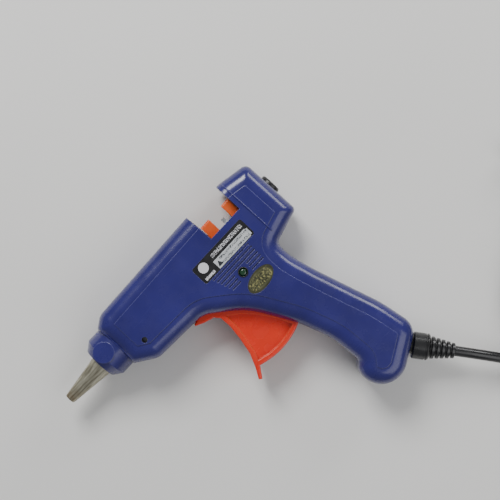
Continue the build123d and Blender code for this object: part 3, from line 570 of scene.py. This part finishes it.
stations = sorted({s[0] for s in PLUG_SECTIONS} | {
    g + d for g in GRIP_GROOVES for d in (-GRIP_EDGE, -GRIP_FLOOR, GRIP_FLOOR, GRIP_EDGE)})
loops = []
for along in stations:
    wide, thick, power = plug_size(along)
    in_groove = any(abs(along - g) < (GRIP_FLOOR + GRIP_EDGE) / 2 for g in GRIP_GROOVES)
    sunk = GRIP_DEPTH if in_groove else 0.0
    loops.append(plug_loop(along, wide - 2 * sunk, thick - 2 * sunk, power))
plug = mesh_piece("plug_shell", *skin(loops), "plug_black")
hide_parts("plug_body")

PIN_SPACING, PIN_SLEEVE_R, PIN_SLEEVE_LEN, PIN_SLEEVE_SUNK = 19.0, 2.08, 9.5, 0.3
pin_sleeve_profile = [(0.0, 2.0), (0.0, 3.2), (0.7, 3.1), (0.9, PIN_SLEEVE_R),
                      (PIN_SLEEVE_LEN - 0.3, PIN_SLEEVE_R), (PIN_SLEEVE_LEN, PIN_SLEEVE_R - 0.06)]
for side, name in ((-1, "pin_sleeve_left"), (1, "pin_sleeve_right")):
    start = at(plug_x + side * PIN_SPACING / 2, plug_rear_y + PLUG_FACE - PIN_SLEEVE_SUNK, plug_z)
    sleeve = skin(lathe(pin_sleeve_profile, start, Vector((0, 1, 0)), 40))
    mesh_piece(name, *sleeve, "plug_black")

TIE_ANGLE = math.radians(60.0)     # its place round the coil
TIE_WIDTH, TIE_THICK, TIE_CORNER, TIE_GAP = 6.0, 0.8, 1.6, 0.3
tie_low, tie_high = COIL_RADII[0] - CORD_R - TIE_GAP, COIL_RADII[-1] + CORD_R + TIE_GAP
tie_out = Vector((math.cos(TIE_ANGLE), math.sin(TIE_ANGLE), 0.0))
tie_along = Vector((-tie_out.y, tie_out.x, 0.0))


def tie_loop(grow, shift):
    """A rounded rectangle round the coil's section, grown outwards from its inside face."""
    low, high = tie_low - grow, tie_high + grow
    bottom, top = FLOOR_Z + TIE_THICK - grow, FLOOR_Z + 2 * CORD_R + LAYER_STEP + grow
    corner = TIE_CORNER + grow
    corners = ((high - corner, top - corner, 0), (low + corner, top - corner, 90),
               (low + corner, bottom + corner, 180), (high - corner, bottom + corner, 270))
    loop = []
    for middle_r, middle_z, first in corners:
        for degrees in range(first, first + 91, 15):
            a = math.radians(degrees)
            along = tie_out * (middle_r + corner * math.cos(a)) + tie_along * shift
            loop.append(at(COIL_CENTRE[0] + along.x, COIL_CENTRE[1] + along.y,
                           middle_z + corner * math.sin(a)))
    return loop


# across the tie, from one edge: how thick it is there, with rounded edges and a shallow channel
tie_half = TIE_WIDTH / 2
tie_edge, tie_channel = TIE_THICK * 0.7, TIE_THICK * 0.75
tie_loops = [tie_loop(grow, shift) for grow, shift in (
    (0.0, -tie_half), (tie_edge, -tie_half), (TIE_THICK, -tie_half + 0.25),
    (TIE_THICK, -0.8), (tie_channel, -0.5), (tie_channel, 0.5), (TIE_THICK, 0.8),
    (TIE_THICK, tie_half - 0.25), (tie_edge, tie_half), (0.0, tie_half), (0.0, -tie_half))]
tie = mesh_piece("coil_tie", *skin(tie_loops, close_ends=False), "tie_black")
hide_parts("cord_tie")

# ---------------------------------------------------------------- return spring
# A copy of the return spring with its place baked into its mesh. It sits on the housing's post at its rear
# end and hooks on the trigger at its front end.
spring = bpy.data.objects.new("stretching_spring", nodes["return_spring"].data.copy())
bpy.context.scene.collection.objects.link(spring)
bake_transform(spring)
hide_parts("return_spring")

# ---------------------------------------------------------------- raised lines on the left shell
shell_mesh = nodes["left_housing"].data
shell_tree = BVHTree.FromPolygons([v.co for v in shell_mesh.vertices],
                                  [p.vertices for p in shell_mesh.polygons])
RAY_START = 0.1                 # metres above the floor, over the whole gun
LOWEST_HIT = (GUN_ORIGIN[2] + 1.0) * MM     # metres, a little above the plane where the shells meet
BEAD_STEP, BEAD_SUNK, BEAD_BASE = 0.6, 0.1, 0.3     # step along a bead, and how far its sides and base sink
BEAD_SHARES = (-0.5, -0.25, 0.0, 0.25, 0.5)     # places across a bead, as shares of its width


def shell_height(place):
    """The left shell's outer surface above a place in the row frame, or None beside it."""
    hit = shell_tree.ray_cast(Vector((place.x, place.y, RAY_START)), -UP)[0]
    return None if hit is None or hit.z < LOWEST_HIT else hit.z


def raised_line(name, corners, wide, high):
    """A low rounded bead that follows the shell's surface through these corners."""
    corners = [at(*c) for c in corners]
    places = []
    for a, b in zip(corners, corners[1:]):
        count = max(int((b - a).length / (BEAD_STEP * MM)), 1)
        places += [a.lerp(b, i / count) for i in range(count)]
    places.append(corners[-1])
    rises = (-BEAD_SUNK, 0.75 * high, high, 0.75 * high, -BEAD_SUNK)
    loops = []
    for i, place in enumerate(places):
        ahead = (places[min(i + 1, len(places) - 1)] - places[max(i - 1, 0)]).normalized()
        aside = Vector((-ahead.y, ahead.x, 0.0))
        loop = [place + aside * wide * MM * share for share in BEAD_SHARES]
        heights = [shell_height(point) for point in loop]
        if None in heights:
            continue
        for point, height, rise in zip(loop, heights, rises):
            point.z = height + rise * MM
        loop.append((loop[0] + loop[-1]) / 2 - UP * BEAD_BASE * MM)
        loops.append(loop)
    return mesh_piece(name, *skin(loops), "housing_blue", sharp=60.0)


raised_line("rear_block_line", [(123.2, 17.0), (123.8, -15.4)], 1.1, 0.5)
raised_line("nose_seam_line", [(35.2, 11.0), (35.2, -9.0)], 0.8, 0.3)

# ---------------------------------------------------------------- lamp bezel
LAMP, BEZEL_SUNK = (100.4, -19.0), 0.05
NEARLY_UP = Vector((0, 0.0001, 1)).normalized()     # lathe can't turn a profile about UP itself
bezel_profile = [(0.0, 1.95), (0.0, 2.5), (0.25, 2.45), (0.4, 2.25), (0.35, 2.0), (0.1, 1.93), (0.0, 1.95)]
bezel_loops = lathe(bezel_profile, at(*LAMP, HALF_THICK - BEZEL_SUNK), NEARLY_UP, 48)
mesh_piece("lamp_bezel", *skin(bezel_loops, close_ends=False), "bush_black")

# ---------------------------------------------------------------- floor and light
FLOOR_HALF, FLOOR_TOP = 2.0, -0.0002     # metres
floor_shader = Shader("floor_pale")
floor_tone = floor_shader.spread(floor_shader.noise(260.0, detail=2.0))
floor_shader.finish(floor_shader.mix(floor_tone, srgb(222, 221, 218), srgb(228, 227, 224)),
                    floor_shader.spread(floor_shader.noise(40.0), 0.7, 0.8),
                    floor_shader.bump(floor_shader.noise(1.2), 0.01))
floor_mesh = bpy.data.meshes.new("floor")
floor_mesh.from_pydata([(x * FLOOR_HALF, y * FLOOR_HALF, FLOOR_TOP)
                        for x, y in ((-1, -1), (1, -1), (1, 1), (-1, 1))], [], [(0, 1, 2, 3)])
floor_mesh.materials.append(floor_shader.material)
floor = bpy.data.objects.new("floor", floor_mesh)
bpy.context.scene.collection.objects.link(floor)

target = at(*VIEW_CENTRE)


def soft_light(name, right, up, above, size, power):
    """A square area light in watts, placed from the view's centre in metres and turned towards it."""
    data = bpy.data.lights.new(name, "AREA")
    data.size, data.energy = size, power
    lamp = bpy.data.objects.new(name, data)
    lamp.location = target + VIEW_RIGHT * right + VIEW_UP * up + UP * above
    lamp.rotation_euler = (target - lamp.location).to_track_quat("-Z", "Y").to_euler()
    bpy.context.scene.collection.objects.link(lamp)


soft_light("key", right=-0.3, up=0.6, above=0.7, size=0.4, power=8.5)
soft_light("fill", right=0.6, up=-0.3, above=0.8, size=0.8, power=3.5)
soft_light("rim", right=0.5, up=0.7, above=0.35, size=0.3, power=2.0)

world = bpy.data.worlds.new("studio")
world.use_nodes = True
background = world.node_tree.nodes["Background"]
background.inputs["Color"].default_value = srgb(232, 234, 238)
background.inputs["Strength"].default_value = 0.38
bpy.context.scene.world = world
